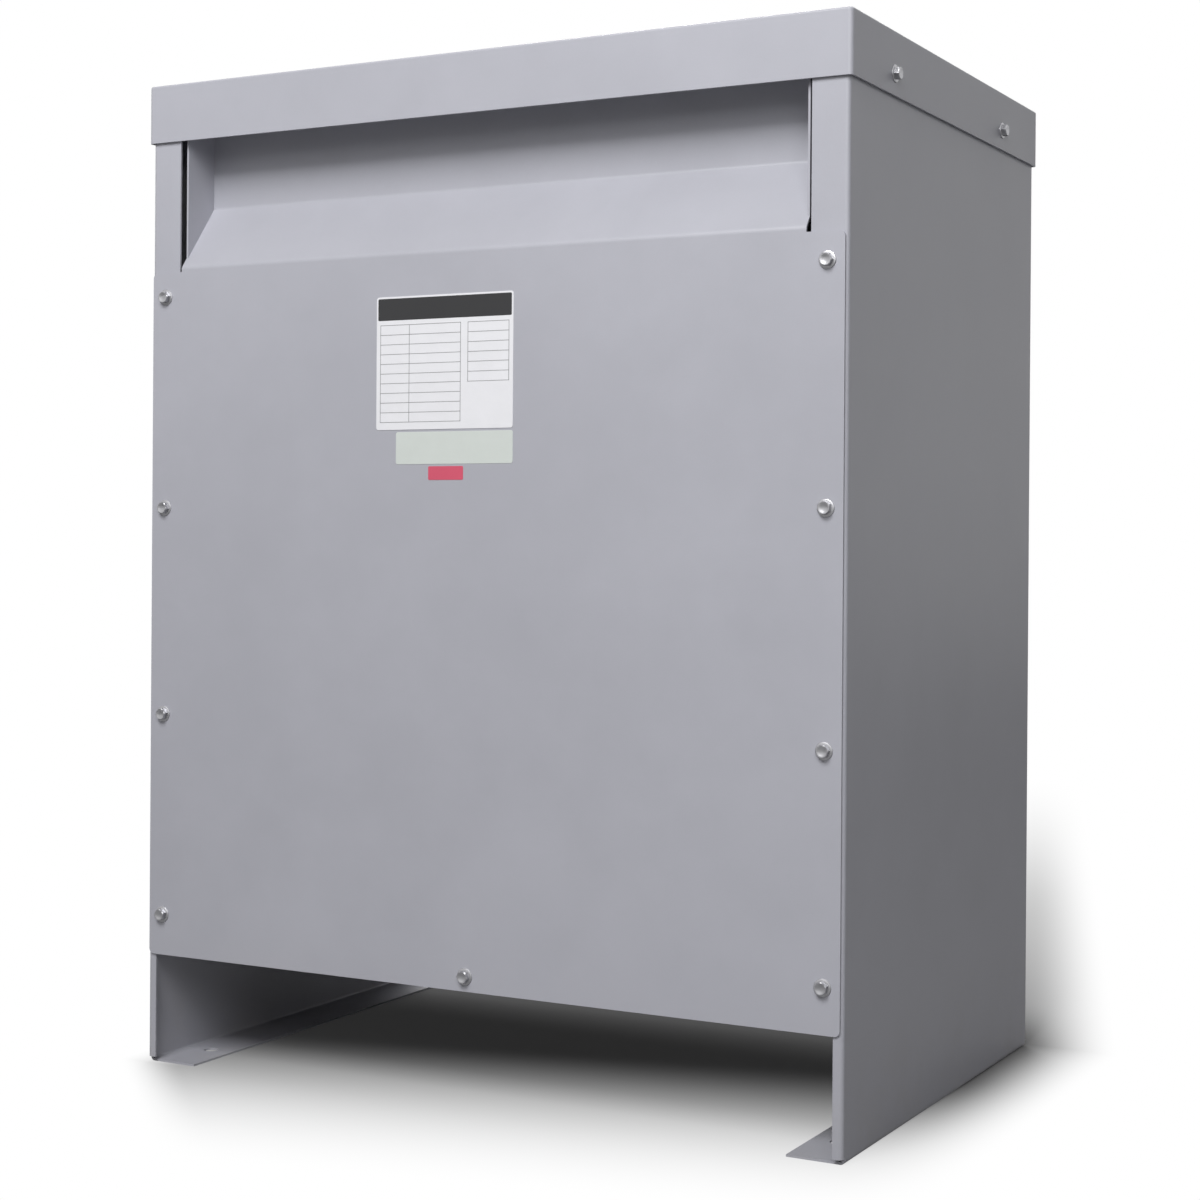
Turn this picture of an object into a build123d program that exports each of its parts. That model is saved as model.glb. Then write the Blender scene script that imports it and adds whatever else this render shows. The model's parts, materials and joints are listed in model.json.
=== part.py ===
from build123d import *
import os

# Ventilated dry-type three-phase transformer in a folded sheet-metal case.
# Millimetres, +Z up. The origin is on the floor, under the middle of the case.
# The front faces -Y and +X is to the right, seen from the front.

# Core: three upright limbs between two yokes
limb_width = 75.0
stack_depth = 100.0
window_width = 110.0
window_height = 290.0
yoke_height = 75.0

# Windings: an inner and an outer coil on each limb, with air ducts
limb_duct = 6.0
inner_build = 16.0
winding_duct = 12.0
outer_build = 16.0
inner_corner = 14.0
end_space = 15.0
outer_setback = 4.0

# Sticks that hold the ducts open, and blocks under and over the windings
stick_width = 8.0
stick_offset = 24.0
block_width = 24.0
block_offset = 34.0
block_overhang = 2.0

# Channels that clamp the yokes, and the rods that tie them together
clamp_steel = 4.0
clamp_flange = 30.0
clamp_bend = 4.0
rod_radius = 5.0
rod_clearance = 12.5
rod_to_end = 15.0

# Leads and boards
bar_width = 25.0
bar_thick = 4.0
bar_reach = 10.0
bar_rise = 55.0
bar_hole = 5.5
bar_bend = 3.0
neutral_height = 25.0
board_width = 34.0
board_thick = 4.0
board_height = 190.0

# Base: two cross rails, two supports on them and four rubber pads
rail_steel = 3.0
rail_bend = 3.0
rail_height = 50.0
rail_flange = 38.0
rail_gap = 0.5
support_height = 38.0
support_width = 60.0
support_foot = 18.0
pad_width = 44.0
pad_depth = 28.0
pad_height = 12.0

# Case
sheet = 1.9
bend = 2.0
side_air = 78.1
front_air = 141.5
top_space = 274.7
foot_opening = 103.0
foot_flange = 51.0
case_flange = 32.5
leg_lip = 9.0
top_flange = 25.0
corner_relief = 5.0
anchor_radius = 7.0
anchor_from_web = 28.0
anchor_from_end = 60.0

# Front and rear covers, and the cap
cover_inset = 2.5
cover_return = 16.0
vent_height = 171.0
vent_depth = 45.0
vent_rise = 60.0
vent_throat = 37.0
vent_lip = 12.0
vent_bend = 6.0
vent_side_gap = 3.5
cheek_setback = 5.0
tab_drop = 4.0
tab_corner = 5.0
cap_skirt = 54.0
cap_gap = 1.1

# Places that follow from the core and the windings
limb_pitch = limb_width + window_width
core_width = 3 * limb_width + 2 * window_width
inner_half = (limb_width / 2 + limb_duct, stack_depth / 2 + limb_duct)
inner_reach = inner_build + winding_duct
outer_half = (inner_half[0] + inner_reach, inner_half[1] + inner_reach)
coil_half_width = outer_half[0] + outer_build
coil_half_depth = outer_half[1] + outer_build
clamp_half = limb_pitch + coil_half_width + rod_clearance + rod_radius + rod_to_end

# Places that follow from the case
half_width = limb_pitch + coil_half_width + side_air + sheet
half_depth = coil_half_depth + front_air
rail_bottom = foot_opening + sheet + rail_gap
rail_top = rail_bottom + rail_height
support_top = rail_top + support_height
clamp_bottom = support_top + pad_height
limb_bottom = clamp_bottom + yoke_height
limb_top = limb_bottom + window_height
core_top = limb_top + yoke_height
panel_top = core_top + top_space
cap_top = panel_top + sheet
mid_bend = bend + sheet / 2

# Name of each phase and the middle of its limb
phases = [("left", -limb_pitch), ("centre", 0.0), ("right", limb_pitch)]

# Left side panel: one sheet folded at the foot, the top, the front and the rear
web_middle = -half_width + sheet / 2
flange_middle = half_depth - sheet / 2
anchor_y = half_depth - anchor_from_end
with BuildPart() as left_side_panel:
    with BuildSketch(Plane.XZ):
        with BuildLine():
            FilletPolyline(
                (-half_width + foot_flange, sheet / 2),
                (web_middle, sheet / 2),
                (web_middle, panel_top - sheet / 2),
                (-half_width + top_flange, panel_top - sheet / 2),
                radius=mid_bend,
            )
        trace(line_width=sheet)
    extrude(amount=half_depth - corner_relief, both=True)
    with BuildSketch(Plane.XY.offset(foot_opening)):
        with BuildLine():
            FilletPolyline(
                (-half_width + case_flange, -flange_middle),
                (web_middle, -flange_middle),
                (web_middle, flange_middle),
                (-half_width + case_flange, flange_middle),
                radius=mid_bend,
            )
        trace(line_width=sheet)
    extrude(amount=panel_top - corner_relief - foot_opening)
    with BuildSketch(Plane.XY.offset(corner_relief)):
        with BuildLine():
            FilletPolyline(
                (-half_width + leg_lip, -flange_middle),
                (web_middle, -flange_middle),
                (web_middle, flange_middle),
                (-half_width + leg_lip, flange_middle),
                radius=mid_bend,
            )
        trace(line_width=sheet)
    extrude(amount=foot_opening - corner_relief)
    with BuildSketch(Plane.XY):
        with Locations((-half_width + anchor_from_web, -anchor_y), (-half_width + anchor_from_web, anchor_y)):
            Circle(anchor_radius)
    extrude(amount=sheet, mode=Mode.SUBTRACT)
left_side_panel.part.label = "left_side_panel"
export_step(left_side_panel.part, "parts/left_side_panel.step")

# Right side panel
with BuildPart() as right_side_panel:
    mirror(left_side_panel.part, about=Plane.YZ)
right_side_panel.part.label = "right_side_panel"
export_step(right_side_panel.part, "parts/right_side_panel.step")

# Front cover: a flat sheet, turned in at the foot. Between the case flanges its
# top slopes in to an upright wall, and a cheek closes each end of this recess.
cover_middle = -half_depth - sheet / 2
vent_start = panel_top - vent_height
vent_back = cover_middle + vent_depth
vent_rim = panel_top - vent_throat
cheek_front = -half_depth + cheek_setback
vent_half = half_width - case_flange - vent_side_gap
cover_half = half_width - cover_inset
with BuildPart() as front_cover:
    with BuildSketch(Plane.YZ):
        with BuildLine():
            FilletPolyline(
                (-half_depth + cover_return, foot_opening + sheet / 2),
                (cover_middle, foot_opening + sheet / 2),
                (cover_middle, vent_start),
                (vent_back, vent_start + vent_rise),
                (vent_back, vent_rim),
                (vent_back + vent_lip, vent_rim),
                radius=[mid_bend, vent_bend, vent_bend, mid_bend],
            )
        trace(line_width=sheet)
    extrude(amount=vent_half, both=True)
    for end in (-1, 1):
        with BuildSketch(Plane.YZ.offset(end * (vent_half - sheet / 2))):
            with BuildLine():
                Polyline(
                    (cheek_front, vent_start + cheek_setback * vent_rise / vent_depth),
                    (vent_back, vent_start + vent_rise),
                    (vent_back, vent_rim),
                    (cheek_front, vent_rim),
                    close=True,
                )
            make_face()
        extrude(amount=sheet / 2, both=True)
    with BuildSketch(Plane.XZ.offset(half_depth)):
        with Locations((0, (foot_opening + vent_start - tab_drop) / 2)):
            RectangleRounded(2 * cover_half, vent_start - tab_drop - foot_opening, tab_corner)
    extrude(amount=sheet)
front_cover.part.label = "front_cover"
export_step(front_cover.part, "parts/front_cover.step")

# Rear cover, the same sheet the other way round
with BuildPart() as rear_cover:
    mirror(front_cover.part, about=Plane.XZ)
rear_cover.part.label = "rear_cover"
export_step(rear_cover.part, "parts/rear_cover.step")

# Cap: a shallow tray, upside down over the panels
cap_reach = cap_gap + sheet
with BuildPart() as top_cap:
    with BuildSketch(Plane.XY.offset(cap_top - cap_skirt)):
        RectangleRounded(2 * (half_width + cap_reach), 2 * (half_depth + cap_reach), bend + sheet)
    extrude(amount=cap_skirt)
    fillet(top_cap.faces().sort_by(Axis.Z)[-1].edges(), radius=bend)
    offset(amount=-sheet, openings=top_cap.faces().sort_by(Axis.Z)[0])
top_cap.part.label = "top_cap"
export_step(top_cap.part, "parts/top_cap.step")

# Base rails: channels between the side panels, behind the foot of each cover
rail_middle = -half_depth + rail_steel / 2
rail_web_half = half_width - case_flange - vent_side_gap
rail_back = -half_depth + rail_flange
rail_front = -half_depth + sheet + bend + rail_gap
rail_reach = half_width - sheet
with BuildPart() as front_base_rail:
    with BuildSketch(Plane.YZ):
        with BuildLine():
            FilletPolyline(
                (rail_back, rail_bottom + rail_steel / 2),
                (rail_middle, rail_bottom + rail_steel / 2),
                (rail_middle, rail_top - rail_steel / 2),
                (rail_back, rail_top - rail_steel / 2),
                radius=rail_bend,
            )
        trace(line_width=rail_steel)
    extrude(amount=rail_web_half, both=True)
    for level in (rail_bottom, rail_top - rail_steel):
        with BuildSketch(Plane.XY.offset(level)):
            with Locations((0, (rail_front + rail_back) / 2)):
                Rectangle(2 * rail_reach, rail_back - rail_front)
        extrude(amount=rail_steel)
front_base_rail.part.label = "front_base_rail"
export_step(front_base_rail.part, "parts/front_base_rail.step")

with BuildPart() as rear_base_rail:
    mirror(front_base_rail.part, about=Plane.XZ)
rear_base_rail.part.label = "rear_base_rail"
export_step(rear_base_rail.part, "parts/rear_base_rail.step")

# Core supports: hat-shaped channels from rail to rail, under the outer limbs
support_half = half_depth - rail_steel - rail_bend
hat_half = support_width / 2 - rail_steel / 2
for side, middle in (phases[0], phases[2]):
    with BuildPart() as core_support:
        with BuildSketch(Plane.XZ):
            with BuildLine():
                FilletPolyline(
                    (middle - hat_half - support_foot, rail_top + rail_steel / 2),
                    (middle - hat_half, rail_top + rail_steel / 2),
                    (middle - hat_half, support_top - rail_steel / 2),
                    (middle + hat_half, support_top - rail_steel / 2),
                    (middle + hat_half, rail_top + rail_steel / 2),
                    (middle + hat_half + support_foot, rail_top + rail_steel / 2),
                    radius=rail_bend,
                )
            trace(line_width=rail_steel)
        extrude(amount=support_half, both=True)
    core_support.part.label = f"{side}_core_support"
    export_step(core_support.part, f"parts/{side}_core_support.step")

# Rubber pads between the supports and the lower clamps
pad_y = stack_depth / 2 + clamp_flange / 2
with BuildPart() as isolation_pads:
    with BuildSketch(Plane.XY.offset(support_top)):
        with GridLocations(2 * limb_pitch, 2 * pad_y, 2, 2):
            Rectangle(pad_width, pad_depth)
    extrude(amount=pad_height)
isolation_pads.part.label = "isolation_pads"
export_step(isolation_pads.part, "parts/isolation_pads.step")

# Clamps: channels along the yokes, with their flanges turned away from the core
for level, low in (("lower", clamp_bottom), ("upper", limb_top)):
    for face, way in (("front", -1), ("rear", 1)):
        with BuildPart() as clamp:
            with BuildSketch(Plane.YZ):
                with BuildLine():
                    FilletPolyline(
                        (way * (stack_depth / 2 + clamp_flange), low + clamp_steel / 2),
                        (way * (stack_depth / 2 + clamp_steel / 2), low + clamp_steel / 2),
                        (way * (stack_depth / 2 + clamp_steel / 2), low + yoke_height - clamp_steel / 2),
                        (way * (stack_depth / 2 + clamp_flange), low + yoke_height - clamp_steel / 2),
                        radius=clamp_bend,
                    )
                trace(line_width=clamp_steel)
            extrude(amount=clamp_half, both=True)
        clamp.part.label = f"{level}_{face}_clamp"
        export_step(clamp.part, f"parts/{level}_{face}_clamp.step")

# Tie rods outside the coils, from the lower clamps to the upper ones
rod_x = clamp_half - rod_to_end
with BuildPart() as clamp_tie_rods:
    with BuildSketch(Plane.XY.offset(limb_bottom)):
        with GridLocations(2 * rod_x, 2 * pad_y, 2, 2):
            Circle(rod_radius)
    extrude(amount=window_height)
clamp_tie_rods.part.label = "clamp_tie_rods"
export_step(clamp_tie_rods.part, "parts/clamp_tie_rods.step")

# Core yokes and limbs, stacked from laminations
for level, low in (("lower", clamp_bottom), ("upper", limb_top)):
    with BuildPart() as core_yoke:
        with BuildSketch(Plane.XY.offset(low)):
            Rectangle(core_width, stack_depth)
        extrude(amount=yoke_height)
    core_yoke.part.label = f"core_{level}_yoke"
    export_step(core_yoke.part, f"parts/core_{level}_yoke.step")

for side, middle in phases:
    with BuildPart() as core_limb:
        with BuildSketch(Plane.XY.offset(limb_bottom)):
            with Locations((middle, 0)):
                Rectangle(limb_width, stack_depth)
        extrude(amount=window_height)
    core_limb.part.label = f"core_{side}_limb"
    export_step(core_limb.part, f"parts/core_{side}_limb.step")

# Windings: rounded rectangular coils, the outer one a little shorter
inner_height = window_height - 2 * end_space
outer_height = inner_height - 2 * outer_setback
outer_corner = inner_corner + inner_reach
for side, middle in phases:
    with BuildPart() as inner_winding:
        with BuildSketch(Plane.XY.offset(limb_bottom + end_space)):
            with Locations((middle, 0)):
                RectangleRounded(
                    2 * (inner_half[0] + inner_build),
                    2 * (inner_half[1] + inner_build),
                    inner_corner + inner_build,
                )
                RectangleRounded(2 * inner_half[0], 2 * inner_half[1], inner_corner, mode=Mode.SUBTRACT)
        extrude(amount=inner_height)
    inner_winding.part.label = f"inner_winding_{side}"
    export_step(inner_winding.part, f"parts/inner_winding_{side}.step")

    with BuildPart() as outer_winding:
        with BuildSketch(Plane.XY.offset(limb_bottom + end_space + outer_setback)):
            with Locations((middle, 0)):
                RectangleRounded(2 * coil_half_width, 2 * coil_half_depth, outer_corner + outer_build)
                RectangleRounded(2 * outer_half[0], 2 * outer_half[1], outer_corner, mode=Mode.SUBTRACT)
        extrude(amount=outer_height)
    outer_winding.part.label = f"outer_winding_{side}"
    export_step(outer_winding.part, f"parts/outer_winding_{side}.step")

# Duct sticks: pairs between limb and inner winding, and between the windings
limb_stick_y = stack_depth / 2 + limb_duct / 2
duct_stick_y = outer_half[1] - winding_duct / 2
duct_stick_x = outer_half[0] - winding_duct / 2
for side, middle in phases:
    with BuildPart() as duct_sticks:
        with BuildSketch(Plane.XY.offset(limb_bottom + end_space)):
            with Locations((middle, 0)):
                with GridLocations(2 * stick_offset, 2 * limb_stick_y, 2, 2):
                    Rectangle(stick_width, limb_duct)
        extrude(amount=inner_height)
        with BuildSketch(Plane.XY.offset(limb_bottom + end_space)):
            with Locations((middle, 0)):
                with GridLocations(2 * stick_offset, 2 * duct_stick_y, 2, 2):
                    Rectangle(stick_width, winding_duct)
                with GridLocations(2 * duct_stick_x, 2 * stick_offset, 2, 2):
                    Rectangle(winding_duct, stick_width)
        extrude(amount=inner_height)
    duct_sticks.part.label = f"duct_sticks_{side}"
    export_step(duct_sticks.part, f"parts/duct_sticks_{side}.step")

# Blocks that carry the windings on the lower clamps and press them from above
block_near = stack_depth / 2 + block_overhang
block_far = coil_half_depth - block_overhang
for level, low in (("lower", limb_bottom), ("upper", limb_top - end_space)):
    with BuildPart() as coil_blocks:
        with BuildSketch(Plane.XY.offset(low)):
            for side, middle in phases:
                with Locations((middle, 0)):
                    with GridLocations(2 * block_offset, block_near + block_far, 2, 2):
                        Rectangle(block_width, block_far - block_near)
        extrude(amount=end_space)
    coil_blocks.part.label = f"{level}_coil_blocks"
    export_step(coil_blocks.part, f"parts/{level}_coil_blocks.step")

# Low-voltage bars: from the top of each inner winding, out past the clamp and up
winding_top = limb_top - end_space
bar_start = inner_half[1] + bar_thick
bar_front = coil_half_depth + bar_reach
bar_top = core_top + bar_rise
for side, middle in phases:
    with BuildPart() as low_voltage_bar:
        with BuildSketch(Plane.YZ.offset(middle)):
            with BuildLine():
                FilletPolyline(
                    (-bar_start, winding_top + bar_thick / 2),
                    (-bar_front, winding_top + bar_thick / 2),
                    (-bar_front, bar_top),
                    radius=bar_bend,
                )
            trace(line_width=bar_thick)
        extrude(amount=bar_width / 2, both=True)
        with BuildSketch(Plane.XZ.offset(bar_front - bar_thick / 2)):
            with Locations((middle, bar_top - bar_width / 2)):
                Circle(bar_hole)
        extrude(amount=bar_thick, mode=Mode.SUBTRACT)
    low_voltage_bar.part.label = f"low_voltage_bar_{side}"
    export_step(low_voltage_bar.part, f"parts/low_voltage_bar_{side}.step")

# Neutral bar at the rear: three short legs, one cross bar and one upright
neutral_low = core_top
with BuildPart() as neutral_bar:
    for side, middle in phases:
        with BuildSketch(Plane.YZ.offset(middle)):
            with BuildLine():
                FilletPolyline(
                    (bar_start, winding_top + bar_thick / 2),
                    (bar_front, winding_top + bar_thick / 2),
                    (bar_front, neutral_low + neutral_height),
                    radius=bar_bend,
                )
            trace(line_width=bar_thick)
        extrude(amount=bar_width / 2, both=True)
    with BuildSketch(Plane.XZ.offset(-bar_front - bar_thick / 2)):
        with Locations((0, neutral_low + neutral_height / 2)):
            Rectangle(2 * limb_pitch + bar_width, neutral_height)
        with Locations((phases[0][1], (neutral_low + bar_top) / 2)):
            Rectangle(bar_width, bar_top - neutral_low)
        with Locations((phases[0][1], bar_top - bar_width / 2)):
            Circle(bar_hole, mode=Mode.SUBTRACT)
    extrude(amount=bar_thick)
neutral_bar.part.label = "neutral_bar"
export_step(neutral_bar.part, "parts/neutral_bar.step")

# Tap boards on the front of the outer windings
board_middle = limb_bottom + window_height / 2
for side, middle in phases:
    with BuildPart() as tap_board:
        with BuildSketch(Plane.XZ.offset(coil_half_depth)):
            with Locations((middle, board_middle)):
                RectangleRounded(board_width, board_height, tab_corner)
        extrude(amount=board_thick)
    tap_board.part.label = f"tap_board_{side}"
    export_step(tap_board.part, f"parts/tap_board_{side}.step")
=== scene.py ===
"""Dresses and lights a ventilated dry-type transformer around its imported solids.

Lengths are metres in the part's own frame: the origin on the floor under the middle
of the case, the front facing -Y, +Z up and +X to the right seen from the front.
"""
import json
import logging
import math
from dataclasses import dataclass, replace
from enum import Enum
from functools import partialmethod, reduce
from itertools import product

import bpy
import numpy as np
from mathutils import Matrix, Vector


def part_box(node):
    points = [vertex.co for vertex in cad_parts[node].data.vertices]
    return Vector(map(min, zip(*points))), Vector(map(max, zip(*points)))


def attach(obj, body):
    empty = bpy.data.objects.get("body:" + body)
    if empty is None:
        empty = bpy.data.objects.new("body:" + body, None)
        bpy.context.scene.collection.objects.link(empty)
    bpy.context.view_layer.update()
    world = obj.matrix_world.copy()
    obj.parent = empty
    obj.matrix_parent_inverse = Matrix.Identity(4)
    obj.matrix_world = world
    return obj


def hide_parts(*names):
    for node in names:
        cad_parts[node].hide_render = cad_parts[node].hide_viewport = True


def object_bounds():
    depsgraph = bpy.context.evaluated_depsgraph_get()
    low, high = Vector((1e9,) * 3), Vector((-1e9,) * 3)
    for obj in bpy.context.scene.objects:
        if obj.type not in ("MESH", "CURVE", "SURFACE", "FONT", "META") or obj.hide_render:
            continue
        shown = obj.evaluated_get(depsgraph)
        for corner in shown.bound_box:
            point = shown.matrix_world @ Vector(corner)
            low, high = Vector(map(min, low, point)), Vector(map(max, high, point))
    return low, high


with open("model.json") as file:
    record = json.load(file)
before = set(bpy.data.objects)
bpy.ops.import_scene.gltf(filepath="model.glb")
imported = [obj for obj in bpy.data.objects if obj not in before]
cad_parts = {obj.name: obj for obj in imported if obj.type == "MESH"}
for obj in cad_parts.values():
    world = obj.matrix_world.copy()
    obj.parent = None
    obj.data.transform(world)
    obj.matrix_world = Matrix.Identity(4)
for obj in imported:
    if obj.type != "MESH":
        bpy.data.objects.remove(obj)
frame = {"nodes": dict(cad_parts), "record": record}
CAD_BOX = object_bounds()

LOG = logging.getLogger("transformer")
MM = 0.001
FULL_TURN = 2.0 * math.pi
ROOT = "root"
PHASES = ("left", "centre", "right")
SIDES = ("left", "right")
NODE_SLOTS = {row["node"]: row["material_slot"] for row in frame["record"]["subparts"]}
SHARP_DEGREES = 32.0
COIL_CORNER_STEPS = 8
WHITE = (1.0, 1.0, 1.0, 1.0)

Colour = tuple[float, float, float]
Point = tuple[float, float, float]
Span = tuple[float, float]
Rows = list[tuple[float, float, int]]
Inputs = dict[str, object]


class Wire:
    """A socket of a node tree, with arithmetic that adds Math nodes.

    The larger of two values is at_least, and the smaller is at_most.
    """

    def __init__(self, graph: "Graph", socket: bpy.types.NodeSocket) -> None:
        """Wraps an output socket of a node tree."""
        self.graph = graph
        self.socket = socket

    def first(self, operation: str, *others: object) -> "Wire":
        """A Math node with this value before the others."""
        return self.graph.add("Math", dict(enumerate((self, *others))), {"operation": operation})

    def second(self, operation: str, other: object) -> "Wire":
        """A Math node with this value after another."""
        return self.graph.add("Math", {0: other, 1: self}, {"operation": operation})

    __add__, __radd__ = partialmethod(first, "ADD"), partialmethod(second, "ADD")
    __sub__, __rsub__ = partialmethod(first, "SUBTRACT"), partialmethod(second, "SUBTRACT")
    __mul__, __rmul__ = partialmethod(first, "MULTIPLY"), partialmethod(second, "MULTIPLY")
    __truediv__, sine = partialmethod(first, "DIVIDE"), partialmethod(first, "SINE")
    at_least, at_most = partialmethod(first, "MAXIMUM"), partialmethod(first, "MINIMUM")

    def step(self, low: float, high: float) -> "Wire":
        """A smooth step, 0 at low and 1 at high; low may be the larger."""
        span = {0: self, 1: min(low, high), 2: max(low, high)}
        rise = self.graph.add("MapRange", span, {"interpolation_type": "SMOOTHSTEP"})
        return rise if low < high else 1.0 - rise


class Graph:
    """The node tree of one material or of the world."""

    def __init__(self, owner: bpy.types.Material | bpy.types.World) -> None:
        """Clears the owner's tree.

        Args:
            owner: the material or world.
        """
        owner.use_nodes = True
        self.tree = owner.node_tree
        self.tree.nodes.clear()
        self._place: Wire | None = None

    def add(
        self,
        kind: str,
        inputs: dict[object, object] | None = None,
        settings: dict[str, object] | None = None,
        output: object = 0,
    ) -> Wire:
        """Adds a node of any kind.

        Args:
            kind: the node's type, after its prefix.
            inputs: the values or wires of its sockets, by name or number.
            settings: its properties, set before its sockets.
            output: the name or number of the output that is wanted.

        Returns:
            The wanted output.
        """
        node = self.tree.nodes.new(f"ShaderNode{kind}")
        for name, value in (settings or {}).items():
            setattr(node, name, value)
        for key, value in (inputs or {}).items():
            if isinstance(value, Wire):
                self.tree.links.new(value.socket, node.inputs[key])
            else:
                node.inputs[key].default_value = value
        return Wire(self, node.outputs[output])

    def show(self, shader: Wire, kind: str = "Material") -> None:
        """Links a shader to an output node of a kind."""
        node = self.tree.nodes.new(f"ShaderNodeOutput{kind}")
        self.tree.links.new(shader.socket, node.inputs["Surface"])

    def place(self) -> Wire:
        """Object coordinates, in metres."""
        if self._place is None:
            self._place = self.add("TexCoord", output="Object")
        return self._place

    def axes(self) -> list[Wire]:
        """The x, y and z of the object coordinates."""
        node = self.add("SeparateXYZ", {0: self.place()}).socket.node
        return [Wire(self, output) for output in node.outputs]

    def stretched(self, along_z: float) -> Wire:
        """Object coordinates with z times a factor."""
        values = {0: self.place(), 1: (1.0, 1.0, along_z)}
        return self.add("VectorMath", values, {"operation": "MULTIPLY"})

    def noise(self, scale: float, detail: float = 2.0, rough: float = 0.5, at: Wire | None = None) -> Wire:
        """Fractal noise from 0 to 1, with its scale in cycles a metre, at any coordinates."""
        values = {"Vector": at or self.place(), "Scale": scale, "Detail": detail, "Roughness": rough}
        return self.add("TexNoise", values)

    def waves(self, along: Wire, pitch: float) -> Wire:
        """A sine from -1 to 1 along a coordinate, with a pitch in metres."""
        return (along * (FULL_TURN / pitch)).sine()

    def weave(self, pitch: float) -> Wire:
        """Crossing threads from 0 to 1, level and upright at one pitch."""
        x, y, z = self.axes()
        return self.waves(x + y, pitch) * self.waves(z, pitch) * 0.5 + 0.5

    def colour(self, factor: object, first: object, second: object) -> Wire:
        """A mix of two colours.

        Args:
            factor: 0 gives the first and 1 the second.
            first: a colour or a wire.
            second: a colour or a wire.

        Returns:
            The mixed colour.
        """
        pair = [(*c, 1.0) if isinstance(c, tuple) else c for c in (first, second)]
        values = {0: factor, 6: pair[0], 7: pair[1]}
        return self.add("Mix", values, {"data_type": "RGBA"}, output=2)

    def bump(self, height: Wire, distance: float, strength: float = 1.0, under: Wire | None = None) -> Wire:
        """A bump by a height of 0 to 1, a depth in metres and its share, over any earlier bump."""
        values = {"Height": height, "Distance": distance, "Strength": strength}
        return self.add("Bump", values | ({"Normal": under} if under else {}))

    def rays(self, *kinds: str) -> Wire:
        """1 for rays of any of these kinds, and 0 for all others, as the largest of their values."""
        path = self.tree.nodes.new("ShaderNodeLightPath")
        return reduce(Wire.at_least, (Wire(self, path.outputs[kind]) for kind in kinds))


@dataclass(frozen=True)
class Finish:
    """A finish with its name and main colour; each kind has its own shader inputs."""

    name: str
    colour: Colour

    def inputs(self, g: Graph) -> Inputs:
        """The values and wires of the shader's inputs, by their names."""
        raise NotImplementedError

    def share(self, part: float) -> Colour:
        """The main colour times a factor."""
        return tuple(c * part for c in self.colour)

    def material(self) -> bpy.types.Material:
        """Builds the material and returns it."""
        made = bpy.data.materials.new(self.name)
        g = Graph(made)
        g.show(g.add("BsdfPrincipled", self.inputs(g)))
        return made


@dataclass(frozen=True)
class PowderCoat(Finish):
    """Satin powder coat on folded sheet: fine orange peel over slightly wavy panels."""

    name: str = "case_paint"
    colour: Colour = (0.402, 0.404, 0.448)
    dust_colour: Colour = (0.36, 0.345, 0.33)
    dust_top: float = 0.16
    roughness: float = 0.42
    peel: float = 0.03 * MM
    wave: float = 1.2 * MM

    def inputs(self, g: Graph) -> Inputs:
        """Cloudy tone, dust towards the floor, faint scuffs and a slight wave."""
        z = g.axes()[2]
        cloud = g.noise(14.0, 4.0, 0.6)
        grain = g.noise(900.0, 2.0)
        tone = g.noise(2.2, 3.0) * 0.55 + cloud * 0.30 + grain * 0.15
        paint = g.colour(tone.step(0.30, 0.70), self.share(0.93), self.share(1.05))
        dust = z.step(self.dust_top, 0.0) * cloud.step(0.35, 0.75) * 0.30
        marks = g.noise(60.0, 6.0, 0.7, g.stretched(0.12)).step(0.66, 0.78) * 0.10
        return {
            "Base Color": g.colour((dust + marks).at_most(0.4), paint, self.dust_colour),
            "Roughness": self.roughness + (cloud - 0.5) * 0.10 + (grain - 0.5) * 0.06 + dust * 0.5,
            "Normal": g.bump(grain, self.peel, under=g.bump(g.noise(3.2, 1.0), self.wave)),
        }


@dataclass(frozen=True)
class Galvanised(Finish):
    """Zinc-coated sheet with a faint spangle."""

    name: str = "support_steel"
    colour: Colour = (0.42, 0.43, 0.44)

    def inputs(self, g: Graph) -> Inputs:
        """Flakes that differ in tone and gloss."""
        cells = {"Vector": g.place(), "Scale": 110.0}
        spangle = g.add("TexVoronoi", cells, output="Color")
        flake = g.add("SeparateColor", {0: spangle})
        cloud = g.noise(9.0, 4.0, 0.6)
        return {
            "Base Color": g.colour(flake * 0.6 + cloud * 0.4, self.share(0.72), self.colour),
            "Metallic": 0.85,
            "Roughness": 0.38 + flake * 0.16 + (cloud - 0.5) * 0.12,
            "Normal": g.bump(g.noise(260.0, 3.0), 0.04 * MM),
        }


@dataclass(frozen=True)
class ClampPaint(Finish):
    """Dipped varnish over painted steel, with runs."""

    name: str = "clamp_steel"
    colour: Colour = (0.045, 0.043, 0.042)
    run_colour: Colour = (0.085, 0.062, 0.045)

    def inputs(self, g: Graph) -> Inputs:
        """Runs of varnish down a gritty coat."""
        runs = g.noise(40.0, 3.0, 0.5, g.stretched(0.15))
        grit = g.noise(420.0, 3.0)
        return {
            "Base Color": g.colour(runs.step(0.35, 0.75), self.colour, self.run_colour),
            "Roughness": 0.34 + (grit - 0.5) * 0.16,
            "Normal": g.bump(grit * 0.4 + runs * 0.6, 0.18 * MM),
            "Coat Weight": 0.25,
        }


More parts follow.
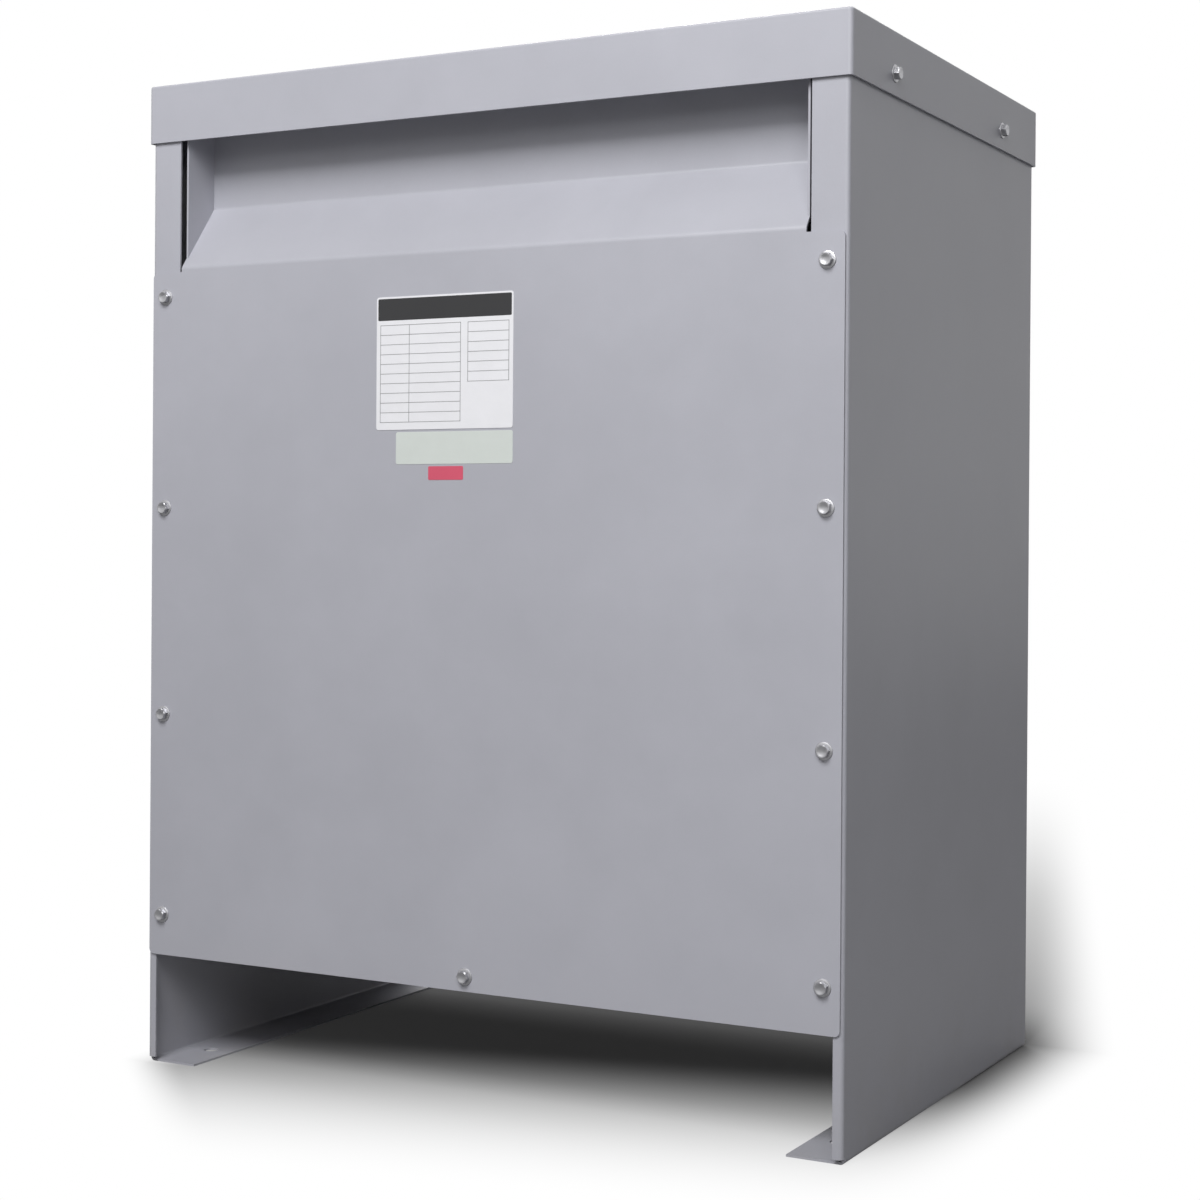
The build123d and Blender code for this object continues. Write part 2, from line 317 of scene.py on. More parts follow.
@dataclass(frozen=True)
class Laminations(Finish):
    """The edges of thin steel sheets, pressed together and varnished."""

    name: str = "core_steel"
    colour: Colour = (0.17, 0.155, 0.14)
    varnish: Colour = (0.20, 0.11, 0.055)
    sheet: float = 1.2 * MM

    def inputs(self, g: Graph) -> Inputs:
        """Lines across y, one for each small pack of sheets, and stains of varnish."""
        y = g.axes()[1]
        line = g.waves(y + g.noise(26.0, 2.0) * (0.6 * MM), self.sheet) * 0.5 + 0.5
        cloud = g.noise(18.0, 4.0, 0.6)
        tone = g.colour(line * 0.5 + cloud * 0.5, self.share(0.45), self.colour)
        return {
            "Base Color": g.colour(cloud.step(0.55, 0.80) * 0.6, tone, self.varnish),
            "Metallic": 0.35,
            "Roughness": 0.36 + line * 0.12 + (cloud - 0.5) * 0.14,
            "Normal": g.bump(line, 0.20 * MM, 0.8),
        }


@dataclass(frozen=True)
class CoilWrap(Finish):
    """Varnished wrap over turns of wire that lie one over another."""

    turn: float
    shade: Colour

    def inputs(self, g: Graph) -> Inputs:
        """Level ridges at the pitch of the turns, with painted shade darkening the grooves between them,
        under varnish.
        """
        z = g.axes()[2]
        ridge = g.waves(z + g.noise(30.0, 2.0) * MM, self.turn) * 0.5 + 0.5
        cloud = g.noise(12.0, 5.0, 0.6)
        weave = g.noise(700.0, 2.0)
        tone = g.colour(cloud.step(0.30, 0.72), self.shade, self.colour)
        # Painted shade: the colour in the grooves between the ridges is darkened as if shaded.
        groove = tuple(c * 0.45 for c in self.shade)
        return {
            "Base Color": g.colour((1.0 - ridge) * 0.45, tone, groove),
            "Roughness": 0.36 + (weave - 0.5) * 0.12 + (cloud - 0.5) * 0.12,
            "Normal": g.bump(weave, 0.06 * MM, under=g.bump(ridge, self.turn * 0.22, 0.7)),
            "Coat Weight": 0.30,
        }


@dataclass(frozen=True)
class GlassLaminate(Finish):
    """Tan glass laminate with a fine weave and darker varnished patches."""

    name: str = "spacer_laminate"
    colour: Colour = (0.50, 0.36, 0.16)
    thread_colour: Colour = (0.66, 0.55, 0.34)
    thread: float = 1.1 * MM

    def inputs(self, g: Graph) -> Inputs:
        """Pale threads that show through cloudy varnish."""
        weave = g.weave(self.thread)
        cloud = g.noise(24.0, 4.0, 0.6)
        tone = g.colour(cloud.step(0.3, 0.75), self.share(0.6), self.colour)
        return {
            "Base Color": g.colour(weave * 0.18, tone, self.thread_colour),
            "Roughness": 0.45 + (weave - 0.5) * 0.10 + (cloud - 0.5) * 0.10,
            "Normal": g.bump(weave, 0.05 * MM),
        }


@dataclass(frozen=True)
class BareMetal(Finish):
    """Bare or plated metal with drawn lines and handling marks."""

    roughness: float

    def inputs(self, g: Graph) -> Inputs:
        """Lines drawn along z over soft clouds."""
        drawn = g.noise(240.0, 3.0, 0.6, g.stretched(0.05))
        cloud = g.noise(60.0, 4.0, 0.6)
        return {
            "Base Color": g.colour(cloud * 0.6 + drawn * 0.4, self.share(0.72), self.colour),
            "Metallic": 1.0,
            "Roughness": self.roughness + (drawn - 0.5) * 0.18 + (cloud - 0.5) * 0.10,
            "Normal": g.bump(drawn, 0.02 * MM),
        }


@dataclass(frozen=True)
class PadRubber(Finish):
    """Matt black rubber with a mould bloom."""

    name: str = "pad_rubber"
    colour: Colour = (0.018, 0.018, 0.018)
    bloom_colour: Colour = (0.060, 0.058, 0.055)

    def inputs(self, g: Graph) -> Inputs:
        """A pale bloom in patches."""
        bloom = g.noise(90.0, 4.0, 0.65)
        return {
            "Base Color": g.colour(bloom.step(0.35, 0.80), self.colour, self.bloom_colour),
            "Roughness": 0.72 + (bloom - 0.5) * 0.2,
            "Normal": g.bump(bloom, 0.08 * MM),
        }


@dataclass(frozen=True)
class PrintedFilm(Finish):
    """Printed plastic film, slightly uneven and lightly dusty."""

    roughness: float = 0.35

    def inputs(self, g: Graph) -> Inputs:
        """Soft clouds with a fine grain."""
        cloud = g.noise(45.0, 4.0, 0.6)
        tone = cloud * 0.7 + g.noise(1600.0, 1.0) * 0.3
        return {
            "Base Color": g.colour(tone, self.share(0.88), self.colour),
            "Roughness": self.roughness + (cloud - 0.5) * 0.12,
            "Normal": g.bump(cloud, 0.08 * MM),
        }


@dataclass(frozen=True)
class WovenTape(Finish):
    """Woven glass tape or sleeve, soaked with varnish."""

    thread: float = 0.9 * MM

    def inputs(self, g: Graph) -> Inputs:
        """Two crossing sets of threads over cloudy varnish."""
        weave = g.weave(self.thread)
        cloud = g.noise(34.0, 4.0, 0.6)
        dark = self.share(0.55)
        tone = g.colour(cloud.step(0.30, 0.72), dark, self.colour)
        return {
            "Base Color": g.colour(weave * 0.35, tone, dark),
            "Roughness": 0.52 + (cloud - 0.5) * 0.18,
            "Normal": g.bump(weave, self.thread * 0.15),
        }


@dataclass(frozen=True)
class Surface:
    """A closed skin as arrays: points, four-sided faces and three-sided ones."""

    points: np.ndarray
    quads: np.ndarray
    tris: np.ndarray

    @classmethod
    def carried(cls, grid: np.ndarray, looped: bool = False) -> "Surface":
        """Joins rings of points that follow a path into a skin.

        A ring is closed on itself and turns counter-clockwise seen from where the
        path goes. Each end is closed by a fan to the middle of its ring.

        Args:
            grid: the points, by ring along the path and by place round the ring.
            looped: whether the last ring joins the first, with no ends.

        Returns:
            The skin.
        """
        rings, around = grid.shape[:2]
        here = np.arange(around)
        after = (here + 1) % around
        row = np.arange(rings if looped else rings - 1)[:, None] * around
        ahead = (row + around) % (rings * around)
        quads = np.stack([row + here, row + after, ahead + after, ahead + here], axis=-1)
        points = grid.reshape(-1, 3)
        if looped:
            return cls(points, quads.reshape(-1, 4), np.zeros((0, 3), dtype=int))
        count, top = len(points), (rings - 1) * around
        low = np.stack([np.full(around, count), after, here], axis=-1)
        high = np.stack([top + here, top + after, np.full(around, count + 1)], axis=-1)
        ends = np.stack([grid[0].mean(axis=0), grid[-1].mean(axis=0)])
        return cls(np.concatenate([points, ends]), quads.reshape(-1, 4), np.concatenate([low, high]))

    @classmethod
    def joined(cls, parts: list["Surface"]) -> "Surface":
        """Puts several skins into one, each still closed."""
        starts = np.cumsum([0] + [len(part.points) for part in parts[:-1]])
        return cls(
            np.concatenate([part.points for part in parts]),
            np.concatenate([part.quads + start for part, start in zip(parts, starts)]),
            np.concatenate([part.tris + start for part, start in zip(parts, starts)]),
        )

    def moved(self, place: Point) -> "Surface":
        """The skin, shifted by a vector."""
        return replace(self, points=self.points + np.array(place))

    def faced(self, side: "Facing") -> "Surface":
        """The skin, with its +z turned to a side of the part."""
        return replace(self, points=self.points @ side.axes())

    def spun(self, angle: float) -> "Surface":
        """The skin, turned about its own z axis."""
        c, s = math.cos(angle), math.sin(angle)
        return replace(self, points=self.points @ np.array([[c, s, 0.0], [-s, c, 0.0], [0.0, 0.0, 1.0]]))


class Facing(Enum):
    """The way that a piece's own +z points once it is in place."""

    FRONT = (0.0, -1.0, 0.0)
    REAR = (0.0, 1.0, 0.0)
    LEFT = (-1.0, 0.0, 0.0)
    RIGHT = (1.0, 0.0, 0.0)
    UP = (0.0, 0.0, 1.0)
    DOWN = (0.0, 0.0, -1.0)

    def axes(self) -> np.ndarray:
        """Where the piece's x, y and z go, one a row: y goes up, or back if z is upright."""
        out = np.array(self.value)
        up = np.array([0.0, 1.0, 0.0] if out[2] else [0.0, 0.0, 1.0])
        return np.stack([np.cross(up, out), up, out])


def rounded(half_x: float, half_y: float, corner: float, grow: np.ndarray, steps: int = 6) -> np.ndarray:
    """Points round a rectangle with round corners, counter-clockwise.

    A point is its corner's centre plus the corner's radius times the cosine and sine
    of an angle, which runs through a quarter turn at each corner.

    Args:
        half_x: half the width.
        half_y: half the height.
        corner: the radius of the corners.
        grow: how far each ring lies outside the rectangle.
        steps: the number of points on each corner.

    Returns:
        The x and y of the points, by ring.
    """
    quarter = np.repeat(np.arange(4), steps)
    angle = (quarter + np.tile(np.linspace(0.0, 1.0, steps), 4)) * (math.pi / 2)
    right = np.array([1, -1, -1, 1])[quarter] * (half_x - corner)
    back = np.array([1, 1, -1, -1])[quarter] * (half_y - corner)
    reach = corner + grow[:, None]
    return np.stack([right + reach * np.cos(angle), back + reach * np.sin(angle)], axis=-1)


def stacked(outlines: np.ndarray, heights: np.ndarray) -> np.ndarray:
    """Gives each flat ring of points its height."""
    level = np.broadcast_to(heights[:, None, None], (*outlines.shape[:2], 1))
    return np.concatenate([outlines, level], axis=-1)


def plate(width: float, height: float, corner: float, thick: float) -> Surface:
    """A flat plate with round corners and a broken top edge, standing on z = 0.

    Its rings are the outline at the foot and just under the top, and then the outline
    drawn in by a quarter of the thickness at the top, and by as much again, so that
    the top is shaded flat.

    Args:
        width: its size along x.
        height: its size along y.
        corner: the radius of its corners.
        thick: its size along z.

    Returns:
        The plate's skin.
    """
    edge = thick * 0.25
    drawn_in = np.array([0.0, 0.0, -edge * 0.3, -edge, -edge * 1.6])
    outlines = rounded(width / 2, height / 2, max(corner, 2 * edge), drawn_in)
    heights = np.array([0.0, thick - edge, thick - edge * 0.3, thick, thick])
    return Surface.carried(stacked(outlines, heights))


def turned(rows: Rows, across: float = 0.0, around: int = 36) -> Surface:
    """A profile turned round the z axis, with a hexagon where its rows ask for one.

    A point's radius is the row's radius. On a hexagon it is at most half the width
    across flats over the cosine of the angle from the middle of the nearest flat.

    Args:
        rows: radius, height and 1 for a hexagon or 0 for a circle, from the bottom up.
        across: the hexagon's width across flats.
        around: the number of points round, a multiple of twelve.

    Returns:
        The turned skin.
    """
    table = np.array(rows)
    angle = np.arange(around) * (FULL_TURN / around)
    flat = across / 2 / np.cos((angle + math.pi / 6) % (math.pi / 3) - math.pi / 6)
    radius = np.where(table[:, 2:] > 0, np.minimum(table[:, :1], flat), table[:, :1])
    rings = np.stack([radius * np.cos(angle), radius * np.sin(angle)], axis=-1)
    return Surface.carried(stacked(rings, table[:, 1]))


def carried_along(path: np.ndarray, radius: float, around: int = 14) -> Surface:
    """A round bar or sleeve along a path.

    Each ring lies across the path's direction, on a level axis and the one across both.

    Args:
        path: the points of its middle line, which is nowhere upright.
        radius: its radius.
        around: the number of points round.

    Returns:
        The bar's skin.
    """
    way = np.gradient(path, axis=0)
    way /= np.linalg.norm(way, axis=1, keepdims=True)
    first = np.cross(Facing.UP.value, way)
    first /= np.linalg.norm(first, axis=1, keepdims=True)
    second = np.cross(way, first)
    angle = np.arange(around) * (FULL_TURN / around)
    ring = first[:, None] * np.cos(angle)[:, None] + second[:, None] * np.sin(angle)[:, None]
    return Surface.carried(path[:, None] + radius * ring)


def mesh_object(name: str, skin: Surface, finish: bpy.types.Material) -> bpy.types.Object:
    """Puts a skin into a mesh object, smooth but for its sharp edges.

    Args:
        name: the object's name.
        skin: its surface.
        finish: its material.

    Returns:
        The object.
    """
    mesh = bpy.data.meshes.new(name)
    mesh.from_pydata(skin.points.tolist(), [], skin.quads.tolist() + skin.tris.tolist())
    mesh.polygons.foreach_set("use_smooth", np.ones(len(mesh.polygons), dtype=bool))
    mesh.set_sharp_from_angle(angle=math.radians(SHARP_DEGREES))
    mesh.update()
    mesh.materials.append(finish)
    obj = bpy.data.objects.new(name, mesh)
    bpy.context.scene.collection.objects.link(obj)
    return obj


def middle(node: str) -> Point:
    """The middle of a solid's box."""
    low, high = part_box(node)
    return tuple((a + b) / 2 for a, b in zip(low, high))


def round_coil(node: str, corner: float, grow: np.ndarray, height: np.ndarray) -> Surface:
    """Carries a closed section round the outline of a coil.

    Args:
        node: the coil's solid.
        corner: the radius of the outline's corners.
        grow: how far each point of the section lies outside the solid's box.
        height: the height of each point.

    Returns:
        The skin of the ring.
    """
    low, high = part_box(node)
    x, y, _ = middle(node)
    half_x, half_y = (high.x - low.x) / 2, (high.y - low.y) / 2
    outlines = rounded(half_x, half_y, corner, grow, COIL_CORNER_STEPS)
    return Surface.carried(stacked(outlines, height), looped=True).moved((x, y, 0.0))


@dataclass(frozen=True)
class Finishes:
    """All the finishes of the part, made once, and the pieces that wear them."""

    made: dict[str, bpy.types.Material]

    @classmethod
    def make(cls) -> "Finishes":
        """Makes every finish, and returns the set."""
        kinds = [
            PowderCoat(),
            Galvanised(),
            ClampPaint(),
            Laminations(),
            CoilWrap("inner_coil", (0.36, 0.19, 0.07), turn=6.2 * MM, shade=(0.20, 0.09, 0.035)),
            CoilWrap("outer_coil", (0.46, 0.27, 0.10), turn=3.4 * MM, shade=(0.26, 0.13, 0.05)),
            GlassLaminate(),
            BareMetal("bar_metal", (0.80, 0.80, 0.81), roughness=0.36),
            BareMetal("rod_steel", (0.62, 0.60, 0.54), roughness=0.32),
            BareMetal("screw_zinc", (0.47, 0.47, 0.49), roughness=0.38),
            PadRubber(),
            WovenTape("coil_tape", (0.62, 0.52, 0.36)),
            WovenTape("lead_sleeve", (0.50, 0.40, 0.24)),
            PrintedFilm("label_white", (0.80, 0.80, 0.83)),
            PrintedFilm("label_black", (0.018, 0.018, 0.020)),
            PrintedFilm("label_grey", (0.30, 0.30, 0.31)),
            PrintedFilm("label_strip", (0.62, 0.66, 0.63)),
            PrintedFilm("label_red", (0.62, 0.09, 0.15)),
        ]
        return cls({kind.name: kind.material() for kind in kinds})

    def dress_solids(self) -> None:
        """Gives every carried-over solid the finish of its record slot."""
        for node, obj in frame["nodes"].items():
            for slot in obj.material_slots:
                slot.material = self.made[NODE_SLOTS[node]]
            LOG.info("solid %s in %s", node, NODE_SLOTS[node])

    def piece(self, name: str, parts: list[Surface], finish: str) -> bpy.types.Object:
        """Makes a piece at the origin and lets it ride on the part.

        Args:
            name: the piece's name.
            parts: its skins.
            finish: its finish, which may be one of the record's slots.

        Returns:
            The piece.
        """
        obj = mesh_object(name, Surface.joined(parts), self.made[finish])
        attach(obj, ROOT)
        LOG.info("piece %s, %d faces", name, len(obj.data.polygons))
        return obj


@dataclass(frozen=True)
class SheetScrew:
    """A self-tapping screw: a hex head with a washer face, and a thread to its tip."""

    washer_radius: float = 7.6 * MM
    washer_height: float = 1.2 * MM
    across_flats: float = 10.0 * MM
    head_height: float = 5.4 * MM
    thread_radius: float = 2.7 * MM
    core_radius: float = 2.1 * MM
    pitch: float = 1.8 * MM
    length: float = 14.0 * MM
    turns: int = 6

    def skin(self) -> Surface:
        """Works out the screw, with the washer's foot on z = 0 and the head above it.

        The thread's radius swings between its crest and its core once a pitch, and
        the head's top is dished.

        Returns:
            The screw's skin.
        """
        w, h, a = self.washer_height, self.head_height, self.across_flats / 2
        r, core, corner = self.washer_radius, self.core_radius, a / math.cos(math.pi / 6)
        start = -self.pitch * self.turns
        radii = (core, self.thread_radius) * self.turns
        thread = [(radius, start + half * self.pitch / 2, 0) for half, radius in enumerate(radii)]
        tip = [(core * 0.25, -self.length, 0), (core * 0.8, start - self.pitch * 0.3, 0)]
        washer = [(core, 0.0, 0), (r, 0.0, 0), (r, w * 0.35, 0), (r * 0.95, w * 0.75, 0)]
        head = [
            (corner * 1.10, w, 0), (corner * 1.02, w * 1.05, 1), (corner * 1.02, h * 0.80, 1),
            (corner * 0.965, h * 0.90, 1), (a * 0.96, h, 1), (a * 0.72, h * 0.99, 0),
            (a * 0.62, h * 0.94, 0),
        ]
        return turned(tip + thread + washer + head, self.across_flats)


@dataclass(frozen=True)
class CaseScrews:
    """The screws of the covers and the cap, every head at its own angle."""

    finishes: Finishes
    shape: SheetScrew = SheetScrew()
    edge_inset: float = 15.0 * MM
    heights: tuple[float, ...] = (141.0 * MM, 330.0 * MM, 524.0 * MM, 722.0 * MM)
    foot_height: float = 116.0 * MM
    cap_depths: tuple[float, ...] = (95.0 * MM, 380.0 * MM)
    cap_height: float = 886.0 * MM
    seed: int = 7

    def cover_spots(self, node: str, face: int) -> list[Point]:
        """The screws of a cover: down both its edges, and one in the middle of its foot.

        Args:
            node: the cover.
            face: the corner of its box on its outer face, 0 for the low one, 1 for the high.

        Returns:
            Where each screw's washer stands.
        """
        low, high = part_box(node)
        y = (low, high)[face].y
        edges = (low.x + self.edge_inset, high.x - self.edge_inset)
        return [(x, y, z) for x, z in product(edges, self.heights)] + [(0.0, y, self.foot_height)]

    def cap_spots(self, face: int) -> list[Point]:
        """The screws in one side of the cap's skirt, 0 for the left and 1 for the right."""
        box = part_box("top_cap")
        return [(box[face].x, box[0].y + depth, self.cap_height) for depth in self.cap_depths]

    def build(self) -> None:
        """Makes each group of screws as one piece."""
        groups = [
            ("front_cover_screws", Facing.FRONT, self.cover_spots("front_cover", 0)),
            ("rear_cover_screws", Facing.REAR, self.cover_spots("rear_cover", 1)),
            ("cap_screws_left", Facing.LEFT, self.cap_spots(0)),
            ("cap_screws_right", Facing.RIGHT, self.cap_spots(1)),
        ]
        skin = self.shape.skin()
        turns = np.random.default_rng(self.seed)
        for name, side, spots in groups:
            heads = [skin.spun(turns.uniform(0.0, math.pi)).faced(side).moved(spot) for spot in spots]
            self.finishes.piece(name, heads, "screw_zinc")


@dataclass(frozen=True)
class RatingLabel:
    """The bare rating label, with a plain strip and a small plain red label under it."""

    finishes: Finishes
    film: float = 0.45 * MM
    thin_film: float = 0.27 * MM
    ink: float = 0.08 * MM
    ink_corner: float = 0.05 * MM
    middle_x: float = -25.5 * MM
    width: float = 141.0 * MM
    top: float = 711.0 * MM
    foot: float = 593.0 * MM
    header: float = 21.0 * MM
    border: float = 1.6 * MM
    margin: float = 4.0 * MM
    header_gap: float = 4.5 * MM
    rule: float = 0.55 * MM
    row_pitch: float = 8.6 * MM
    left_width: float = 84.0 * MM
    left_rows: int = 10
    left_divider: float = 0.36
    right_width: float = 42.0 * MM
    right_rows: int = 6
    strip_box: tuple[float, ...] = (-75.0 * MM, 45.0 * MM, 562.5 * MM, 591.0 * MM)
    red_box: tuple[float, ...] = (-41.0 * MM, -5.0 * MM, 548.5 * MM, 560.5 * MM)

    def field(self, box: tuple[float, ...], lift: float, thick: float, corner: float) -> Surface:
        """A flat field on the front cover.

        Args:
            box: its left, right, foot and top.
            lift: how far it lies before the cover's face.
            thick: its thickness.
            corner: the radius of its corners.

        Returns:
            The field's skin.
        """
        left, right, foot, top = box
        spot = ((left + right) / 2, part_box("front_cover")[0].y - lift, (foot + top) / 2)
        return plate(right - left, top - foot, corner, thick).faced(Facing.FRONT).moved(spot)

    def rules(self, left: float, width: float, rows: int, shares: tuple[float, ...]) -> list[Surface]:
        """The lines of an empty table under the header.

        Args:
            left: its left edge.
            width: its width.
            rows: the number of its rows.
            shares: where it has upright lines before the last, as shares of its width.

        Returns:
            The lines' skins.
        """
        top = self.top - self.header - self.header_gap
        foot = top - rows * self.row_pitch
        uprights = [left + width * share for share in shares] + [left + width - self.rule]
        boxes = [(left, left + width, z, z + self.rule) for z in np.linspace(foot, top, rows + 1)]
        boxes += [(x, x + self.rule, foot, top + self.rule) for x in uprights]
        return [self.field(box, self.film, self.ink, self.ink_corner) for box in boxes]

    def build(self) -> None:
        """Makes the label, its header and rules, the strip and the small red label."""
        left, right = self.middle_x - self.width / 2, self.middle_x + self.width / 2
        body = (left, right, self.foot, self.top)
        head = (left + self.border, right - self.border, self.top - self.header, self.top - self.border)
        lines = self.rules(left + self.margin, self.left_width, self.left_rows, (0.0, self.left_divider))
        edge = right - self.margin - self.right_width
        lines += self.rules(edge, self.right_width, self.right_rows, (0.0,))
        pieces = [
            ("rating_label", [self.field(body, 0.0, self.film, 2.5 * MM)], "label_white"),
            ("rating_label_header", [self.field(head, self.film, self.ink, 1.2 * MM)], "label_black"),
            ("rating_label_rules", lines, "label_grey"),
            ("strip_label", [self.field(self.strip_box, 0.0, self.thin_film, 2.0 * MM)], "label_strip"),
            ("small_red_label", [self.field(self.red_box, 0.0, self.thin_film, 1.2 * MM)], "label_red"),
        ]
        for name, parts, finish in pieces:
            self.finishes.piece(name, parts, finish)


@dataclass(frozen=True)
class Fastener:
    """A hex bolt's head or nut on its washer, in proportion to its thread."""

    thread: float
    around: int = 24

    @property
    def across(self) -> float:
        """The width across flats, 1.6 times the thread's diameter."""
        return self.thread * 1.6

    def head_rows(self, height: float) -> Rows:
        """The profile of a washer and a hexagon with broken corners, from the foot up."""
        t, w, a = self.thread * 0.18, self.thread * 0.97, self.across / 2
        corner = a / math.cos(math.pi / 6)
        return [
            (w, 0.0, 0), (w, t * 0.8, 0), (w * 0.97, t, 0), (corner * 1.02, t * 1.01, 1),
            (corner * 1.02, t + height * 0.88, 1), (corner * 0.955, t + height * 0.96, 1),
            (a * 0.97, t + height, 0),
        ]

    def head(self) -> Surface:
        """The bolt's head."""
        return turned(self.head_rows(self.thread * 0.65), self.across, self.around)

    def nut(self) -> Surface:
        """The nut, with the end of the thread standing out of it."""
        rows = self.head_rows(self.thread * 0.85)
        top, r = rows[-1][1], self.thread / 2
        rows += [(r * 1.08, top * 0.995, 0), (r, top, 0), (r, top + r * 0.55, 0)]
        rows.append((r * 0.8, top + r * 0.8, 0))
        return turned(rows, self.across, self.around)

    def shank(self, length: float) -> Surface:
        """The plain shank from z = 0 up."""
        r = self.thread / 2
        return turned([(r, 0.0, 0), (r, length, 0)], around=self.around)


@dataclass(frozen=True)
class CoreBolts:
    """The bolts of the clamps, tie rods, pads and supports."""

    finishes: Finishes
    clamp_bolt: Fastener = Fastener(10.0 * MM)
    rod_nut: Fastener = Fastener(9.4 * MM)
    pad_bolt: Fastener = Fastener(8.0 * MM)
    yoke_xs: tuple[float, ...] = (-92.5 * MM, 92.5 * MM)
    end_xs: tuple[float, ...] = (-247.5 * MM, 247.5 * MM)
    flange: float = 4.0 * MM
    rod_radius: float = 5.0 * MM
    nut_turns: Span = (0.0047, 0.4)
    pad_halves: Span = (22.0 * MM, 14.0 * MM)
    foot_reach: float = 39.0 * MM
    foot_depth: float = 222.0 * MM
    sheet: float = 3.0 * MM
    seed: int = 11

    def pair(self, bolt: Fastener, low: Point, high: Point, way: Facing) -> list[Surface]:
        """A head at one face and a nut at the opposite one.

        Args:
            bolt: the size of both.
            low: where the head stands.
            high: where the nut stands.
            way: the way that the nut faces.

        Returns:
            The two skins.
        """
        opposite = {Facing.REAR: Facing.FRONT, Facing.UP: Facing.DOWN}[way]
        turns = np.random.default_rng(self.seed + int(abs(low[0]) * 1000) + int(abs(low[2]) * 1000))
        head, nut = (part.spun(turns.uniform(0.0, math.pi)) for part in (bolt.head(), bolt.nut()))
        return [head.faced(opposite).moved(low), nut.faced(way).moved(high)]

    @staticmethod
    def corners(node: str, inset_x: float, inset_y: float) -> list[Span]:
        """The x and y of four places inside the corners of a solid's box."""
        low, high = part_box(node)
        return list(product((low.x + inset_x, high.x - inset_x), (low.y + inset_y, high.y - inset_y)))

    def clamp_bolts(self) -> list[Surface]:
        """Four bolts through each yoke's clamps: two through it, two past its ends."""
        parts: list[Surface] = []
        for level in ("lower", "upper"):
            front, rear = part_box(f"{level}_front_clamp"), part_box(f"{level}_rear_clamp")
            z = (front[0].z + front[1].z) / 2
            near, far = front[1].y - self.flange, rear[0].y + self.flange
            for x in self.yoke_xs + self.end_xs:
                parts += self.pair(self.clamp_bolt, (x, near, z), (x, far, z), Facing.REAR)
            shank = self.clamp_bolt.shank(far - near).faced(Facing.REAR)
            parts += [shank.moved((x, near, z)) for x in self.end_xs]
        return parts

    def rod_nuts(self) -> list[Surface]:
        """A nut on each side of the flange at both ends of each tie rod."""
        low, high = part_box("clamp_tie_rods")
        inner = self.rod_nut.head()
        below, above = (self.rod_nut.nut().spun(turn) for turn in self.nut_turns)
        parts = (
            (inner, Facing.UP, low.z), (below, Facing.DOWN, low.z - self.flange),
            (inner, Facing.DOWN, high.z), (above, Facing.UP, high.z + self.flange),
        )
        spots = self.corners("clamp_tie_rods", self.rod_radius, self.rod_radius)
        return [part.faced(way).moved((x, y, z)) for x, y in spots for part, way, z in parts]

    def upright(self, spots: list[Span], low: float, high: float) -> list[Surface]:
        """Pad bolts at some places, each from a low height to a high one."""
        pairs = [self.pair(self.pad_bolt, (x, y, low), (x, y, high), Facing.UP) for x, y in spots]
        return [part for pair in pairs for part in pair]

    def pad_bolts(self) -> list[Surface]:
        """A bolt through each pad, from under its support to the clamp's flange."""
        (low, high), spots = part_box("isolation_pads"), self.corners("isolation_pads", *self.pad_halves)
        return self.upright(spots, low.z - self.sheet, high.z + self.flange)

    def foot_bolts(self) -> list[Surface]:
        """Two bolts at each end of each support, through its feet and the rail."""
        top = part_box("front_base_rail")[1].z
        centres = (middle(f"{side}_core_support")[0] for side in SIDES)
        xs = [x + reach for x in centres for reach in (-self.foot_reach, self.foot_reach)]
        spots = list(product(xs, (-self.foot_depth, self.foot_depth)))
        return self.upright(spots, top - self.sheet, top + self.sheet)

    def build(self) -> None:
        """Makes each group of bolts as one piece."""
        groups = {
            "clamp_bolts": self.clamp_bolts(), "tie_rod_nuts": self.rod_nuts(),
            "pad_bolts": self.pad_bolts(), "support_bolts": self.foot_bolts(),
        }
        for name, parts in groups.items():
            self.finishes.piece(name, parts, "rod_steel")


